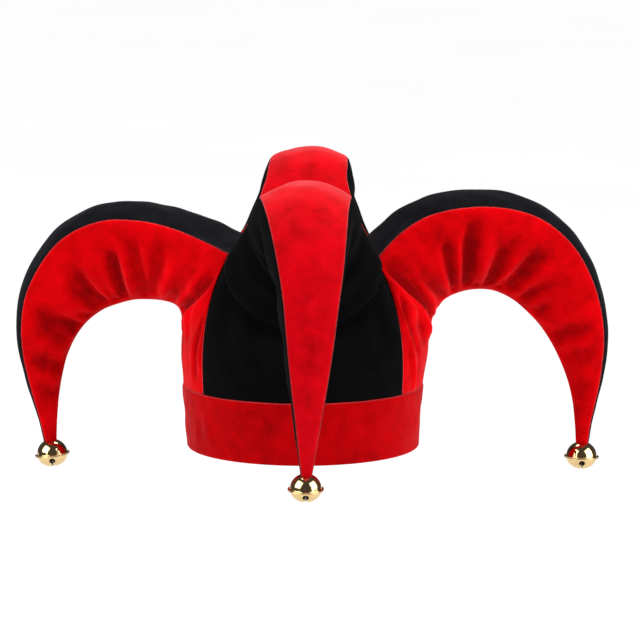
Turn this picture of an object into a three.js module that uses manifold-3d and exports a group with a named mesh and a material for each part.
// A jester hat in red and black velvet. A headband carries a domed crown that grows into four
// drooping horns. Each horn is sewn from two side panels, which also form an eighth of the crown
// each, and a gusset along its outer curve. A round rattle bell hangs from each tip.
// Millimetres, +Z up, the front faces -Y, and the origin is the middle of the head opening in the
// plane of the rim.

import * as THREE from "three";
import { mergeVertices } from "three/addons/utils/BufferGeometryUtils.js";
import Module from "manifold-3d";

const wasm = await Module();
wasm.setup();

// Driving dimensions of the headband and the crown.
const RIM_HALF_WIDTH = 89.4; // outside of the band, left to right
const RIM_HALF_LENGTH = 99.4; // outside of the band, front to back
const BAND_HEIGHT = 48;
const BAND_FLARE = 3.6; // how much further out the band's top is than its rim
const BAND_FLARE_CURVE = 1.5; // how late the flare comes
const BAND_WALL = 3.5; // two layers of velvet, folded at the rim
const BAND_EDGE = 1.2; // rounding of the band's two edges
const CLOTH_WALL = 2;
const MITRE_LIMIT = 1.6; // the most that a wall is thickened where panels meet at an angle
const SEAM_GAP = 0.4; // between pieces that are sewn together
const CROWN_STEP = 0.9; // how far the crown's cloth stands back from the band's top
const QUARTER_SEAM_ANGLE = 34.6; // degrees round from the side, where the quarter seams leave the band
const SADDLE_WIDTH = 110; // the four saddles between the horns stand on a square this wide
const SADDLE_HEIGHT = 155;
const SADDLE_SAG = 4; // how much lower the two saddles on the right have settled
const VALLEY_HEIGHT = 150; // where the four gussets meet on top
const VALLEY_CURVE = 0.6; // how late the gussets rise from the valley to their arch at the saddles
const VALLEY_POINT = 0.01; // share of the valley seams at which the gussets' points are cut off
const SEAM_CURVE = 2.6; // how late the quarter seams bend in towards the saddles
const SEAM_BELLY = 1.5; // how far the quarter seams bow out half way up
const CROWN_TURN = 0.4; // how far the crown's section has turned into the horns' half way up
const CROWN_BOW = 4.5; // how far the crown's quarters swell out at their corners

// Driving dimensions of the horns, which differ a little, so each horn takes shares of them.
const HORN_OVERHANG = 128.5; // from the root out to the furthest point of the middle line
const HORN_RISE = 30; // from the root's middle up to the highest point of the middle line
const HORN_HANG = 126; // from the root's middle down to the tip
const HORN_DEPTH = 86; // from the underside to the ridge where the horn leaves the crown
const HORN_SWAY = 2.6; // sideways, of a horn whose stuffing has settled to one side
const ARMPIT_HEIGHT = 100; // from the rim up to where a horn's underside leaves the crown
const ARMPIT_OFFSET = 2; // of the same point, out from the crown's wall at the band
const GUSSET_WIDTH = 70; // across a horn's gusset where the horn is highest
const FOLD_DEPTH = 3.2;
const FOLD_WIDTH = 9; // from the bottom of a gather to its shoulder
const BELLY_DROP = 0.36; // share of a horn's depth over which its side runs down from the gusset
const UNDERSIDE = 0.63; // share of the gusset's half width over which the underside stays flat

// Driving dimensions of the bells.
const BELL_RADIUS = 12;
const BELL_TOP = 11.8; // from the joint up
const BELL_BOTTOM = 9.8; // from the joint down
const BELL_WALL = 0.8;
const BELL_LIP = 1.5; // how far the crimped joint stands out
const BELL_LIP_THICKNESS = 0.7; // of each half
const BELL_HOLE_RADIUS = 2.4;
const BELL_HOLE_DROP = 3.9; // of the holes' middles below the joint
const BELL_SLIT = 1.4;
const BELL_EYE_RADIUS = 2.1; // of the wire's middle line
const BELL_EYE_LIFT = 1.3; // of the eye's middle over the dome
const BELL_WIRE = 1.3;
const PELLET_RADIUS = 3.2;

// How the gusset and the sides change along a horn. at is a share of the horn's length, width is a
// share of GUSSET_WIDTH, rise is how far the gusset arches as a share of its own width, and belly is
// how far the sides swell past the gusset as a share of its half width.
const SIDE_SECTIONS = [
  { at: 0.0, width: 1.57, rise: 0.11, belly: 0.2 },
  { at: 0.07, width: 1.25, rise: 0.14, belly: 0.4 },
  { at: 0.15, width: 1.06, rise: 0.15, belly: 0.4 },
  { at: 0.26, width: 1.0, rise: 0.14, belly: 0.38 },
  { at: 0.38, width: 0.83, rise: 0.13, belly: 0.4 },
  { at: 0.53, width: 0.62, rise: 0.13, belly: 0.44 },
  { at: 0.69, width: 0.457, rise: 0.13, belly: 0.46 },
  { at: 0.85, width: 0.28, rise: 0.11, belly: 0.4 },
  { at: 1.0, width: 0.13, rise: 0.1, belly: 0.3 },
];
const END_SECTIONS = [
  { at: 0.0, width: 1.57, rise: 0.11, belly: 0.2 },
  { at: 0.02, width: 1.55, rise: 0.13, belly: 0.5 },
  { at: 0.08, width: 1.35, rise: 0.15, belly: 0.6 },
  { at: 0.15, width: 1.08, rise: 0.17, belly: 0.6 },
  { at: 0.26, width: 1.0, rise: 0.175, belly: 0.5 },
  { at: 0.38, width: 0.83, rise: 0.14, belly: 0.32 },
  { at: 0.53, width: 0.62, rise: 0.11, belly: 0.25 },
  { at: 0.69, width: 0.457, rise: 0.09, belly: 0.24 },
  { at: 0.85, width: 0.28, rise: 0.08, belly: 0.22 },
  { at: 1.0, width: 0.13, rise: 0.1, belly: 0.2 },
];

// Middle lines of the horns. out is a share of the horn's overhang from its root. up is a share of
// its rise where it is positive and of its hang where it is negative. lean is the angle in degrees
// from the vertical of a line across the horn, from its underside to its ridge. depth is a share of
// the horn's own depth.
const LEFT_PATH = [
  { out: 0.118, up: 0.518, lean: -20, depth: 0.93 },
  { out: 0.254, up: 0.843, lean: -8, depth: 0.94 },
  { out: 0.397, up: 1.0, lean: 5, depth: 0.98 },
  { out: 0.562, up: 0.91, lean: 20, depth: 1.01 },
  { out: 0.724, up: 0.36, lean: 36, depth: 0.975 },
  { out: 0.842, up: -0.062, lean: 52, depth: 0.87 },
  { out: 0.933, up: -0.2, lean: 68, depth: 0.75 },
  { out: 0.98, up: -0.342, lean: 82, depth: 0.622 },
  { out: 1.0, up: -0.488, lean: 92, depth: 0.492 },
  { out: 0.999, up: -0.618, lean: 98, depth: 0.382 },
  { out: 0.991, up: -0.752, lean: 101, depth: 0.279 },
  { out: 0.978, up: -0.88, lean: 100, depth: 0.195 },
  { out: 0.966, up: -1.0, lean: 97, depth: 0.139 },
];
const RIGHT_PATH = [
  { out: 0.089, up: 0.467, lean: -22, depth: 0.963 },
  { out: 0.198, up: 0.815, lean: -10, depth: 0.945 },
  { out: 0.339, up: 0.99, lean: 3, depth: 0.922 },
  { out: 0.485, up: 1.0, lean: 16, depth: 0.91 },
  { out: 0.642, up: 0.8, lean: 30, depth: 0.88 },
  { out: 0.773, up: 0.345, lean: 45, depth: 0.82 },
  { out: 0.866, up: -0.06, lean: 59, depth: 0.73 },
  { out: 0.934, up: -0.22, lean: 73, depth: 0.62 },
  { out: 0.974, up: -0.38, lean: 84, depth: 0.508 },
  { out: 0.991, up: -0.519, lean: 92, depth: 0.4 },
  { out: 1.0, up: -0.638, lean: 96, depth: 0.308 },
  { out: 1.0, up: -0.765, lean: 98, depth: 0.222 },
  { out: 0.994, up: -0.889, lean: 96, depth: 0.16 },
  { out: 0.99, up: -1.0, lean: 92, depth: 0.125 },
];
const FRONT_PATH = [
  { out: 0.02, up: 0.1, lean: -39, depth: 1.0 },
  { out: 0.196, up: 0.694, lean: -26, depth: 0.965 },
  { out: 0.32, up: 0.929, lean: -13, depth: 0.93 },
  { out: 0.464, up: 1.0, lean: 3, depth: 0.895 },
  { out: 0.608, up: 0.918, lean: 22, depth: 0.86 },
  { out: 0.742, up: 0.673, lean: 41, depth: 0.814 },
  { out: 0.845, up: 0.327, lean: 57, depth: 0.744 },
  { out: 0.923, up: -0.03, lean: 70, depth: 0.663 },
  { out: 0.969, up: -0.189, lean: 80, depth: 0.581 },
  { out: 0.995, up: -0.356, lean: 87, depth: 0.488 },
  { out: 1.0, up: -0.53, lean: 92, depth: 0.384 },
  { out: 0.985, up: -0.697, lean: 96, depth: 0.291 },
  { out: 0.959, up: -0.856, lean: 99, depth: 0.198 },
  { out: 0.928, up: -1.0, lean: 95, depth: 0.128 },
];

// Gathers that fan out from the seam on the underside of a horn. at is where one starts, as a share
// of the horn's length, slant is how far along it drifts by the time it reaches the gusset, and deep
// and wide are shares of FOLD_DEPTH and FOLD_WIDTH.
const LEFT_FOLDS = [
  { at: 0.0, slant: 0.0, deep: 1.0, wide: 1.0 },
  { at: 0.08, slant: 0.0, deep: 0.6, wide: 0.9 },
  { at: 0.22, slant: 0.0, deep: 0.35, wide: 0.9 },
  { at: 0.34, slant: 0.0, deep: 0.9, wide: 1.0 },
  { at: 0.455, slant: 0.0, deep: 0.8, wide: 1.0 },
  { at: 0.63, slant: -0.05, deep: 0.8, wide: 1.0 },
  { at: 0.78, slant: -0.04, deep: 0.4, wide: 1.2 },
];
const RIGHT_FOLDS = [
  { at: 0.0, slant: 0.0, deep: 1.2, wide: 1.0 },
  { at: 0.155, slant: -0.06, deep: 0.8, wide: 0.9 },
  { at: 0.235, slant: -0.01, deep: 1.0, wide: 0.9 },
  { at: 0.35, slant: 0.03, deep: 0.6, wide: 1.0 },
  { at: 0.43, slant: 0.03, deep: 0.5, wide: 1.0 },
  { at: 0.57, slant: 0.0, deep: 0.35, wide: 1.2 },
];

const END_FOLDS = [
  { at: 0.0, slant: 0.0, deep: 0.7, wide: 1.3 },
  { at: 0.17, slant: -0.02, deep: 0.6, wide: 1.1 },
  { at: 0.31, slant: 0.01, deep: 0.8, wide: 1.1 },
  { at: 0.47, slant: 0.02, deep: 0.6, wide: 1.1 },
  { at: 0.64, slant: -0.03, deep: 0.4, wide: 1.2 },
];

// Finishes of velvet and metal.
const RED = { color: 0xc8000e, roughness: 0.85, metalness: 0 };
const BLACK = { color: 0x0c0c0f, roughness: 0.85, metalness: 0 };
const GOLD = { color: 0xd9b25a, roughness: 0.15, metalness: 1 };
const STEEL = { color: 0x8c8c8c, roughness: 0.35, metalness: 1 };

// The horns. turn is the direction that a horn points in, in degrees round from +X. armpit, overhang,
// rise, hang, depth and sway are shares of the horns' driving dimensions. gusset and arch scale the
// width and the rise of the sections. twist turns the sections beyond the highest point, in degrees.
const HORNS = [
  {
    name: "left", turn: 180, along: "width", sides: ["rear", "front"], cloth: RED, trim: BLACK,
    armpit: { out: 1, up: 1.04 }, overhang: 1.0, rise: 0.553, hang: 1.032, depth: 0.895,
    sections: SIDE_SECTIONS, gusset: 1.0, arch: 1,
    path: LEFT_PATH, folds: LEFT_FOLDS, sway: 0, twist: 0,
  },
  {
    name: "right", turn: 0, along: "width", sides: ["front", "rear"], cloth: RED, trim: BLACK,
    armpit: { out: 3.5, up: 0.965 }, overhang: 1.1175, rise: 1.0, hang: 1.0, depth: 0.997,
    sections: SIDE_SECTIONS, gusset: 0.94, arch: 1,
    path: RIGHT_PATH, folds: RIGHT_FOLDS, sway: 0, twist: 0,
  },
  {
    name: "front", turn: 270, along: "length", sides: ["left", "right"], cloth: BLACK, trim: RED,
    armpit: { out: 1, up: 1.0 }, overhang: 0.755, rise: 1.583, hang: 0.992, depth: 1.0,
    sections: END_SECTIONS, gusset: 0.97, arch: 1,
    path: FRONT_PATH, folds: END_FOLDS, sway: 1, twist: 10,
  },
  {
    name: "rear", turn: 90, along: "length", sides: ["right", "left"], cloth: BLACK, trim: RED,
    armpit: { out: 1, up: 1.0 }, overhang: 0.755, rise: 1.683, hang: 1.008, depth: 1.0,
    sections: END_SECTIONS, gusset: 0.86, arch: 0.75,
    path: FRONT_PATH, folds: END_FOLDS, sway: -1.8, twist: 0,
  },
];

// Rows of the paths: the highest point, and the end of the bend down into the hanging part.
const CREST_ROW = 4;
const BEND_ROW = 8;

// How finely the surfaces are divided. Stations lie along a panel and strips across it.
const CROWN_STATIONS = 4;
const BEND_STATIONS = 18;
const TAIL_STATIONS = 8;
const VALLEY_STATIONS = 2;
const SIDE_STRIPS = 4;
const GUSSET_STRIPS = 3;
const BAND_SEGMENTS = 40;
const BELL_SEGMENTS = 12;
const DOME_STEPS = 4;
const HOLE_SIDES = 8;
const WIRE_SIDES = 5;
const EYE_SEGMENTS = 10;

const UP = new THREE.Vector3(0, 0, 1);
const radians = THREE.MathUtils.degToRad;
const lerp = THREE.MathUtils.lerp;
const add = (point, ...steps) =>
  steps.reduce((sum, [direction, length]) => sum.addScaledVector(direction, length), point.clone());

// Outside half sizes of the band at a height, and of the crown where it meets the band.
const bandOffset = (height) => BAND_FLARE * (height / BAND_HEIGHT) ** BAND_FLARE_CURVE;
const CROWN_BASE = BAND_HEIGHT + SEAM_GAP;
const CROWN_HALF = {
  width: RIM_HALF_WIDTH + BAND_FLARE - CROWN_STEP,
  length: RIM_HALF_LENGTH + BAND_FLARE - CROWN_STEP,
};

// A value of a section table at a share of the horn's length.
function sectionValue(table, column, share) {
  const next = table.findIndex((row) => row.at >= share);
  if (next <= 0) return table[0][column];
  const [low, high] = [table[next - 1], table[next]];
  return lerp(low[column], high[column], (share - low.at) / (high.at - low.at));
}

const saddleHeight = (signX) => SADDLE_HEIGHT - (signX > 0 ? SADDLE_SAG : 0);

// The quarter seam from the band up to the saddle, for the quadrant that the signs name. x and y
// bend in late, as a power of the height, and bow out a little half way up.
function quarterSeam(signX, signY, share) {
  const angle = radians(QUARTER_SEAM_ANGLE);
  const bend = share ** SEAM_CURVE;
  const belly = SEAM_BELLY * Math.sin(Math.PI * share);
  return new THREE.Vector3(
    signX * (lerp(CROWN_HALF.width * Math.cos(angle), SADDLE_WIDTH / 2, bend) + belly),
    signY * (lerp(CROWN_HALF.length * Math.sin(angle), SADDLE_WIDTH / 2, bend) + belly),
    lerp(CROWN_BASE, saddleHeight(signX), share),
  );
}

// The valley seam from the middle of the top out to the saddle, level at first.
function valleySeam(signX, signY, share) {
  const half = (SADDLE_WIDTH / 2) * share;
  const height = lerp(VALLEY_HEIGHT, saddleHeight(signX), share ** 2);
  return new THREE.Vector3(signX * half, signY * half, height);
}

// A horn's directions: out from the hat's axis and sideways, and the signs of its two quadrants.
function hornAxes(horn) {
  const turn = radians(horn.turn);
  const out = new THREE.Vector3(Math.round(Math.cos(turn)), Math.round(Math.sin(turn)), 0);
  const side = new THREE.Vector3().crossVectors(UP, out);
  const corners = [-1, 1].map((sign) => add(out, [side, sign]));
  return { out, side, corners };
}

// The sections of a horn, from its root to its tip. Each has its middle, the directions across and
// up through the section, its depth and the gusset's half width, rise and belly.
function hornSections(horn) {
  const { out, side, corners } = hornAxes(horn);
  const wall = CROWN_HALF[horn.along] + horn.armpit.out * ARMPIT_OFFSET;
  const root = horn.sections[0];
  const armpit = add(new THREE.Vector3(), [out, wall], [UP, horn.armpit.up * ARMPIT_HEIGHT]);
  const [left, right] = corners.map((corner) => quarterSeam(corner.x, corner.y, 1));
  const saddle = left.lerp(right, 0.5);
  const rise = SADDLE_WIDTH * root.rise * horn.arch;
  const up = saddle.clone().sub(armpit).normalize();
  const ridge = add(saddle, [up, rise]);
  const middle = armpit.clone().lerp(ridge, 0.5);
  const sections = [
    {
      middle, up, across: side, depth: armpit.distanceTo(ridge),
      half: SADDLE_WIDTH / 2, rise, belly: root.belly, length: 0,
    },
  ];
  for (const row of horn.path) {
    const number = sections.length;
    const height = row.up > 0 ? row.up * horn.rise * HORN_RISE : row.up * horn.hang * HORN_HANG;
    const sway = horn.sway * HORN_SWAY * THREE.MathUtils.smoothstep(number, 0, CREST_ROW);
    const twist = radians(horn.twist) * THREE.MathUtils.smoothstep(number, CREST_ROW, BEND_ROW);
    const lean = radians(row.lean);
    const flatUp = add(new THREE.Vector3(), [out, Math.sin(lean)], [UP, Math.cos(lean)]);
    const here = add(middle, [out, row.out * horn.overhang * HORN_OVERHANG], [UP, height], [side, sway]);
    const last = sections.at(-1);
    sections.push({
      middle: here,
      up: add(new THREE.Vector3(), [flatUp, Math.cos(twist)], [side, Math.sin(twist)]),
      across: add(new THREE.Vector3(), [side, Math.cos(twist)], [flatUp, -Math.sin(twist)]),
      depth: row.depth * horn.depth * HORN_DEPTH,
      length: last.length + here.distanceTo(last.middle),
    });
  }
  const whole = sections.at(-1).length;
  for (const section of sections) {
    section.share = section.length / whole;
    if (section.half) continue;
    const value = (column) => sectionValue(horn.sections, column, section.share);
    section.half = (value("width") * GUSSET_WIDTH * horn.gusset) / 2;
    section.rise = value("rise") * horn.arch * 2 * section.half;
    section.belly = value("belly");
  }
  return sections;
}

const undersideOf = (section) => add(section.middle, [section.up, -section.depth / 2]);
const ridgeOf = (section) => add(section.middle, [section.up, section.depth / 2]);

// The gusset's edge on one side of a section.
function edgeOf(section, sign) {
  const foot = section.depth / 2 - section.rise;
  return add(section.middle, [section.up, foot], [section.across, sign * section.half]);
}

// Handles of the cubic curve that a side panel follows from the underside seam to the gusset.
function handlesOf(section, sign) {
  const low = add(undersideOf(section), [section.across, sign * UNDERSIDE * section.half]);
  const high = add(
    edgeOf(section, sign),
    [section.across, sign * section.belly * section.half],
    [section.up, -BELLY_DROP * section.depth],
  );
  return { low, high };
}

// Handles of the oval arc that a side panel follows at the band.
function baseHandles(horn, sign, start, corner) {
  const { out, side } = hornAxes(horn);
  const alongWidth = horn.along === "width";
  const angle = radians(alongWidth ? QUARTER_SEAM_ANGLE : 90 - QUARTER_SEAM_ANGLE);
  const [near, far] = alongWidth
    ? [CROWN_HALF.width, CROWN_HALF.length]
    : [CROWN_HALF.length, CROWN_HALF.width];
  const reach = (4 / 3) * Math.tan(angle / 4);
  return {
    low: add(start, [side, sign * reach * far]),
    high: add(
      corner,
      [out, reach * near * Math.sin(angle)],
      [side, -sign * reach * far * Math.cos(angle)],
    ),
  };
}

// A smooth curve through points, read at a fractional row number.
function throughRows(points) {
  const curve = new THREE.CatmullRomCurve3(points, false, "centripetal");
  return (row) => curve.getPoint(THREE.MathUtils.clamp(row / (points.length - 1), 0, 1));
}

// Row numbers of the stations along a horn, root to tip.
function hornRows(rowCount) {
  const bend = Array.from({ length: BEND_STATIONS }, (_, i) => (i * BEND_ROW) / BEND_STATIONS);
  const tail = Array.from(
    { length: TAIL_STATIONS + 1 },
    (_, i) => BEND_ROW + (i * (rowCount - BEND_ROW)) / TAIL_STATIONS,
  );
  return [...bend, ...tail];
}

// How far the gathers pull the side panel in, at shares along the horn and across the panel. fade
// is nothing on either seam and one a third of the way up from the underside.
function foldAt(folds, length, share, across) {
  const fade = (27 / 4) * across * (1 - across) ** 2;
  const sum = folds.reduce((total, fold) => {
    const distance = ((share - fold.at - fold.slant * across) * length) / (fold.wide * FOLD_WIDTH);
    return total + fold.deep * Math.exp(-distance * distance);
  }, 0);
  return FOLD_DEPTH * fade * sum;
}

// The unit normal at a point of a grid of points.
const gridNormal = (grid, i, j) => {
  const rows = grid.length - 1;
  const columns = grid[0].length - 1;
  const along = grid[Math.min(i + 1, rows)][j].clone().sub(grid[Math.max(i - 1, 0)][j]);
  const over = grid[i][Math.min(j + 1, columns)].clone().sub(grid[i][Math.max(j - 1, 0)]);
  return along.cross(over).normalize();
};

// Outer surface of one side panel: stations up the crown and along the horn, and across each of
// them a cubic curve from the middle of the quarter or the underside seam to the quarter seam or
// the gusset. sign picks the side, and the columns run so that normals point outwards.
function sideGrid(horn, sections, sign) {
  const { out, corners } = hornAxes(horn);
  const corner = corners[sign < 0 ? 0 : 1];
  const seam = (share) => quarterSeam(corner.x, corner.y, share);
  const base = add(new THREE.Vector3(), [out, CROWN_HALF[horn.along]], [UP, CROWN_BASE]);
  const armpit = undersideOf(sections[0]);
  const baseCurve = baseHandles(horn, sign, base, seam(0));
  const rootCurve = handlesOf(sections[0], sign);
  const halfWay = {
    low: add(baseCurve.low.clone().lerp(rootCurve.low, 0.5), [out, SEAM_BELLY]),
    high: add(baseCurve.high.clone().lerp(rootCurve.high, CROWN_TURN), [corner, CROWN_BOW]),
  };
  const curves = [baseCurve, halfWay, ...sections.map((section) => handlesOf(section, sign))];
  const start = throughRows([base, base.clone().lerp(armpit, 0.5), ...sections.map(undersideOf)]);
  const low = throughRows(curves.map((curve) => curve.low));
  const high = throughRows(curves.map((curve) => curve.high));
  const edge = throughRows([seam(1), ...sections.slice(1).map((section) => edgeOf(section, sign))]);
  const { length } = sections.at(-1);
  const share = (row) => {
    if (row < 0) return ((row / 2) * (armpit.z - CROWN_BASE)) / length;
    const below = sections[Math.floor(row)].share;
    return row % 1 ? lerp(below, sections[Math.floor(row) + 1].share, row % 1) : below;
  };
  const crownRows = Array.from({ length: CROWN_STATIONS }, (_, i) => (2 * i) / CROWN_STATIONS - 2);
  const rows = [...crownRows, ...hornRows(sections.length - 1)];
  const smooth = rows.map((row) => {
    const from = start(row + 2);
    const to = row < 0 ? seam((row + 2) / 2) : edge(row);
    const curve = new THREE.CubicBezierCurve3(from, low(row + 2), high(row + 2), to);
    return curve.getPoints(SIDE_STRIPS);
  });
  const grid = smooth.map((points, i) =>
    points.map((point, j) => {
      const depth = foldAt(horn.folds, length, share(rows[i]), j / SIDE_STRIPS);
      return point.clone().addScaledVector(gridNormal(smooth, i, j), sign * depth);
    }),
  );
  return sign < 0 ? grid : grid.map((points) => points.reverse());
}

// Outer surface of one gusset: from the middle of the top out to the saddles, then along the horn.
// Each station is a parabola between the two edges.
function gussetGrid(horn, sections) {
  const { corners } = hornAxes(horn);
  const edges = [-1, 1].map((sign, i) => {
    const saddle = quarterSeam(corners[i].x, corners[i].y, 1);
    return throughRows([saddle, ...sections.slice(1).map((section) => edgeOf(section, sign))]);
  });
  const ridge = throughRows(sections.map(ridgeOf));
  const arch = (left, right, top) =>
    Array.from({ length: GUSSET_STRIPS + 1 }, (_, j) => {
      const across = j / GUSSET_STRIPS;
      const chord = left.clone().lerp(right, across);
      const middle = left.clone().lerp(right, 0.5);
      return chord.addScaledVector(top.clone().sub(middle), 1 - (2 * across - 1) ** 2);
    });
  const rise = ridge(0).sub(edges[0](0).lerp(edges[1](0), 0.5));
  const valley = Array.from({ length: VALLEY_STATIONS }, (_, i) => {
    const share = i / VALLEY_STATIONS;
    const [left, right] = corners.map((corner) =>
      valleySeam(corner.x, corner.y, Math.max(share, VALLEY_POINT)),
    );
    const saddle = left.clone().lerp(right, 0.5);
    return arch(left, right, saddle.addScaledVector(rise, share ** VALLEY_CURVE));
  });
  const rows = hornRows(sections.length - 1);
  return [...valley, ...rows.map((row) => arch(edges[0](row), edges[1](row), ridge(row)))];
}

// Unit normals summed at each place where panels meet, so that their walls share one mitre.
const placeKey = (point) => point.toArray().map((value) => value.toFixed(2)).join(" ");
function weldedNormals(grids) {
  const sums = new Map();
  for (const grid of grids) {
    grid.forEach((points, i) =>
      points.forEach((point, j) => {
        const key = placeKey(point);
        const found = sums.get(key) ?? { sum: new THREE.Vector3(), count: 0 };
        found.sum.add(gridNormal(grid, i, j));
        found.count += 1;
        sums.set(key, found);
      }),
    );
  }
  return sums;
}

// The inner surface of a panel: each point moved in along the shared normal, further where the
// panels meet at an angle so that the wall keeps its thickness.
function innerGrid(grid, normals) {
  return grid.map((points) =>
    points.map((point) => {
      const { sum, count } = normals.get(placeKey(point));
      const mitre = Math.min(MITRE_LIMIT, count / sum.length());
      return add(point, [sum.clone().normalize(), -CLOTH_WALL * mitre]);
    }),
  );
}

// The grid with its border drawn in by half the seam gap, square to each seam.
function drawnIn(grid) {
  const rows = grid.length - 1;
  const columns = grid[0].length - 1;
  const inwards = (place, last) => (Number(place === 0) - Number(place === last)) * (SEAM_GAP / 2);
  return grid.map((points, i) =>
    points.map((point, j) => {
      const along = grid[Math.min(i + 1, rows)][j].clone().sub(grid[Math.max(i - 1, 0)][j]);
      const over = points[Math.min(j + 1, columns)].clone().sub(points[Math.max(j - 1, 0)]);
      const normal = along.clone().cross(over).normalize();
      const sideways = normal.clone().cross(along).normalize();
      const onwards = over.clone().cross(normal).normalize();
      return add(point, [sideways, inwards(j, columns)], [onwards, inwards(i, rows)]);
    }),
  );
}

// A closed sheet between two grids of the same size.
function sheetGeometry(outer, inner) {
  const rows = outer.length;
  const columns = outer[0].length;
  const last = columns - 1;
  const points = [...outer.flat(), ...inner.flat()];
  const at = (layer, i, j) => layer * rows * columns + i * columns + j;
  const index = [];
  const quad = (a, b, c, d) => index.push(a, b, c, a, c, d);
  for (let i = 0; i < rows - 1; i += 1) {
    for (let j = 0; j < columns - 1; j += 1) {
      quad(at(0, i, j), at(0, i + 1, j), at(0, i + 1, j + 1), at(0, i, j + 1));
      quad(at(1, i, j), at(1, i, j + 1), at(1, i + 1, j + 1), at(1, i + 1, j));
    }
    quad(at(0, i, 0), at(1, i, 0), at(1, i + 1, 0), at(0, i + 1, 0));
    quad(at(1, i + 1, last), at(1, i, last), at(0, i, last), at(0, i + 1, last));
  }
  for (let j = 0; j < columns - 1; j += 1) {
    quad(at(0, 0, j + 1), at(1, 0, j + 1), at(1, 0, j), at(0, 0, j));
    quad(at(0, rows - 1, j), at(1, rows - 1, j), at(1, rows - 1, j + 1), at(0, rows - 1, j + 1));
  }
  return new THREE.BufferGeometry().setFromPoints(points).setIndex(index);
}

// The headband: a rounded strip carried round the oval head opening. Its outside flares towards
// the top.
function bandGeometry() {
  const edges = [0, BAND_EDGE, BAND_HEIGHT - BAND_EDGE, BAND_HEIGHT];
  const rounded = (height) => (height === 0 || height === BAND_HEIGHT ? BAND_EDGE : 0);
  const outside = edges
    .toSpliced(2, 0, BAND_HEIGHT / 2)
    .map((height) => [bandOffset(height) - rounded(height), height]);
  const inside = edges.map((height) => [bandOffset(height) - BAND_WALL + rounded(height), height]);
  const profile = [...outside, ...inside.reverse()];
  const rings = Array.from({ length: BAND_SEGMENTS }, (_, i) => {
    const angle = (i / BAND_SEGMENTS) * 2 * Math.PI;
    return profile.map(
      ([offset, height]) =>
        new THREE.Vector3(
          (RIM_HALF_WIDTH + offset) * Math.cos(angle),
          (RIM_HALF_LENGTH + offset) * Math.sin(angle),
          height,
        ),
    );
  });
  const index = [];
  for (let i = 0; i < BAND_SEGMENTS; i += 1) {
    for (let j = 0; j < profile.length; j += 1) {
      const next = (i + 1) % BAND_SEGMENTS;
      const above = (j + 1) % profile.length;
      const [a, b] = [i * profile.length + j, next * profile.length + j];
      const [c, d] = [next * profile.length + above, i * profile.length + above];
      index.push(a, b, c, a, c, d);
    }
  }
  return new THREE.BufferGeometry().setFromPoints(rings.flat()).setIndex(index);
}

// A three.js geometry as a solid that can be cut or joined, and back.
function toSolid(geometry) {
  const bare = geometry.clone().deleteAttribute("normal").deleteAttribute("uv");
  const merged = mergeVertices(bare, 1e-4);
  const corners = merged.index.array;
  const whole = [];
  for (let i = 0; i < corners.length; i += 3) {
    const [a, b, c] = corners.slice(i, i + 3);
    if (a !== b && b !== c && c !== a) whole.push(a, b, c);
  }
  return new wasm.Manifold(
    new wasm.Mesh({
      numProp: 3,
      vertProperties: merged.attributes.position.array,
      triVerts: new Uint32Array(whole),
    }),
  );
}
function toGeometry(solid) {
  const mesh = solid.getMesh();
  return new THREE.BufferGeometry()
    .setAttribute("position", new THREE.BufferAttribute(mesh.vertProperties, 3))
    .setIndex(new THREE.BufferAttribute(mesh.triVerts, 1));
}

// A quarter ellipse from the axis to the joint, as lathe points. height is signed.
function domeArc(radius, height) {
  return Array.from({ length: DOME_STEPS + 1 }, (_, i) => {
    const angle = (i / DOME_STEPS) * (Math.PI / 2);
    return new THREE.Vector2(radius * Math.sin(angle), height * Math.cos(angle));
  });
}

// A shape of revolution about Z from lathe points that start and end on the axis.
const turned = (points) => new THREE.LatheGeometry(points, BELL_SEGMENTS).rotateX(Math.PI / 2);

// Half of a bell: a dome with a flat lip at the joint. sign is 1 for the top and -1 for the bottom.
function bellShell(height, sign) {
  const foot = (sign * SEAM_GAP) / 2;
  const lip = foot + sign * BELL_LIP_THICKNESS;
  const outer = domeArc(BELL_RADIUS, sign * height).slice(0, -1);
  const inner = domeArc(BELL_RADIUS - BELL_WALL, sign * (height - BELL_WALL)).slice(0, -1);
  const rim = [
    new THREE.Vector2(BELL_RADIUS, lip),
    new THREE.Vector2(BELL_RADIUS + BELL_LIP, lip),
    new THREE.Vector2(BELL_RADIUS + BELL_LIP, foot),
    new THREE.Vector2(BELL_RADIUS - BELL_WALL, foot),
  ];
  const profile = [...outer, ...rim, ...inner.reverse()];
  return toSolid(turned(sign > 0 ? profile.reverse() : profile));
}

// The top half with its wire eye, which is brazed on and stands up into the horn's tip.
function bellTopGeometry() {
  const eye = toSolid(
    new THREE.TorusGeometry(BELL_EYE_RADIUS, BELL_WIRE / 2, WIRE_SIDES, EYE_SEGMENTS)
      .rotateX(Math.PI / 2)
      .translate(0, 0, BELL_TOP + BELL_EYE_LIFT),
  );
  const inside = [...domeArc(BELL_RADIUS - BELL_WALL, BELL_TOP - BELL_WALL), new THREE.Vector2(0, 0)];
  const hollow = toSolid(turned(inside.reverse()));
  return toGeometry(bellShell(BELL_TOP, 1).add(eye.subtract(hollow)));
}

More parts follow.
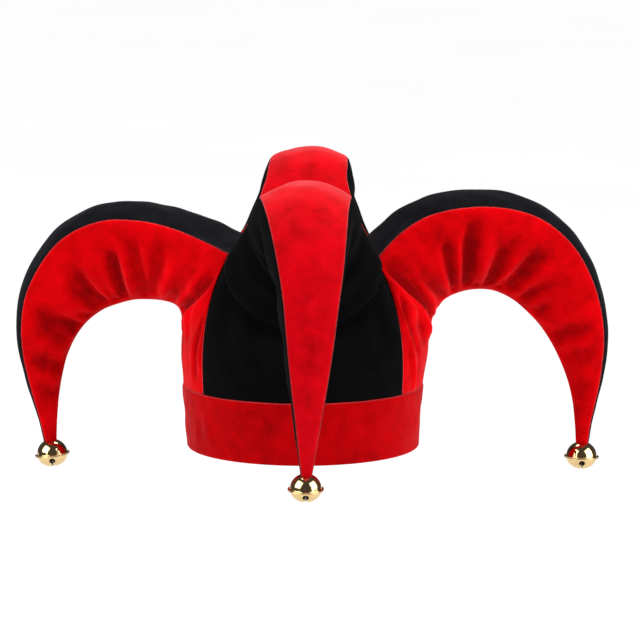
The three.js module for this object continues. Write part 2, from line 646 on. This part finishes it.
// The bottom half, cut by a cross slit that ends in four round holes.
function bellBottomGeometry() {
  const drop = BELL_HOLE_DROP;
  const reach = BELL_RADIUS * Math.sqrt(1 - (drop / BELL_BOTTOM) ** 2);
  const dip = Math.atan2(drop / BELL_BOTTOM ** 2, reach / BELL_RADIUS ** 2);
  let shell = bellShell(BELL_BOTTOM, -1);
  for (let i = 0; i < 4; i += 1) {
    const hole = new THREE.CylinderGeometry(BELL_HOLE_RADIUS, BELL_HOLE_RADIUS, BELL_RADIUS / 2, HOLE_SIDES)
      .rotateZ(-Math.PI / 2 - dip)
      .rotateX(Math.PI / 2)
      .translate(reach, 0, -drop);
    shell = shell.subtract(toSolid(hole.rotateZ((i * Math.PI) / 2)));
  }
  for (const turn of [0, Math.PI / 2]) {
    const slit = new THREE.BoxGeometry(2 * reach, BELL_SLIT, BELL_BOTTOM)
      .translate(0, 0, -drop - BELL_BOTTOM / 2)
      .rotateZ(turn);
    shell = shell.subtract(toSolid(slit));
  }
  return toGeometry(shell);
}

function named(name, geometry, finish) {
  const mesh = new THREE.Mesh(geometry, new THREE.MeshStandardMaterial(finish));
  mesh.name = name;
  return mesh;
}

// A bell with its pellet, hung on the end of a horn and turned in line with it.
function bellGroup(horn, sections) {
  const tip = sections.at(-1);
  const hanging = new THREE.Vector3().crossVectors(tip.across, tip.up);
  const group = new THREE.Group();
  const upright = new THREE.Quaternion().setFromUnitVectors(UP, hanging.clone().negate());
  group.quaternion.setFromAxisAngle(UP, radians(horn.turn)).premultiply(upright);
  group.position.copy(add(tip.middle, [hanging, BELL_TOP]));
  const pellet = new THREE.IcosahedronGeometry(PELLET_RADIUS, 1).translate(
    0,
    0,
    PELLET_RADIUS + BELL_WALL + 2 * SEAM_GAP - BELL_BOTTOM,
  );
  group.add(
    named(`${horn.name}_bell_top`, bellTopGeometry(), GOLD),
    named(`${horn.name}_bell_bottom`, bellBottomGeometry(), GOLD),
    named(`${horn.name}_bell_pellet`, pellet, STEEL),
  );
  return group;
}

// Every cloth panel of the crown and horns, then the bells.
const hat = new THREE.Group();
hat.add(named("headband", bandGeometry(), RED));

const panels = HORNS.flatMap((horn) => {
  const sections = hornSections(horn);
  const [first, second] = horn.sides;
  hat.add(bellGroup(horn, sections));
  return [
    { node: `${horn.name}_horn_side_${first}`, grid: sideGrid(horn, sections, -1), finish: horn.cloth },
    { node: `${horn.name}_horn_side_${second}`, grid: sideGrid(horn, sections, 1), finish: horn.cloth },
    { node: `${horn.name}_horn_gusset`, grid: gussetGrid(horn, sections), finish: horn.trim },
  ];
});
const normals = weldedNormals(panels.map((panel) => panel.grid));
for (const { node, grid, finish } of panels) {
  const inner = innerGrid(grid, normals);
  hat.add(named(node, sheetGeometry(drawnIn(grid), drawnIn(inner)), finish));
}

export default hat;
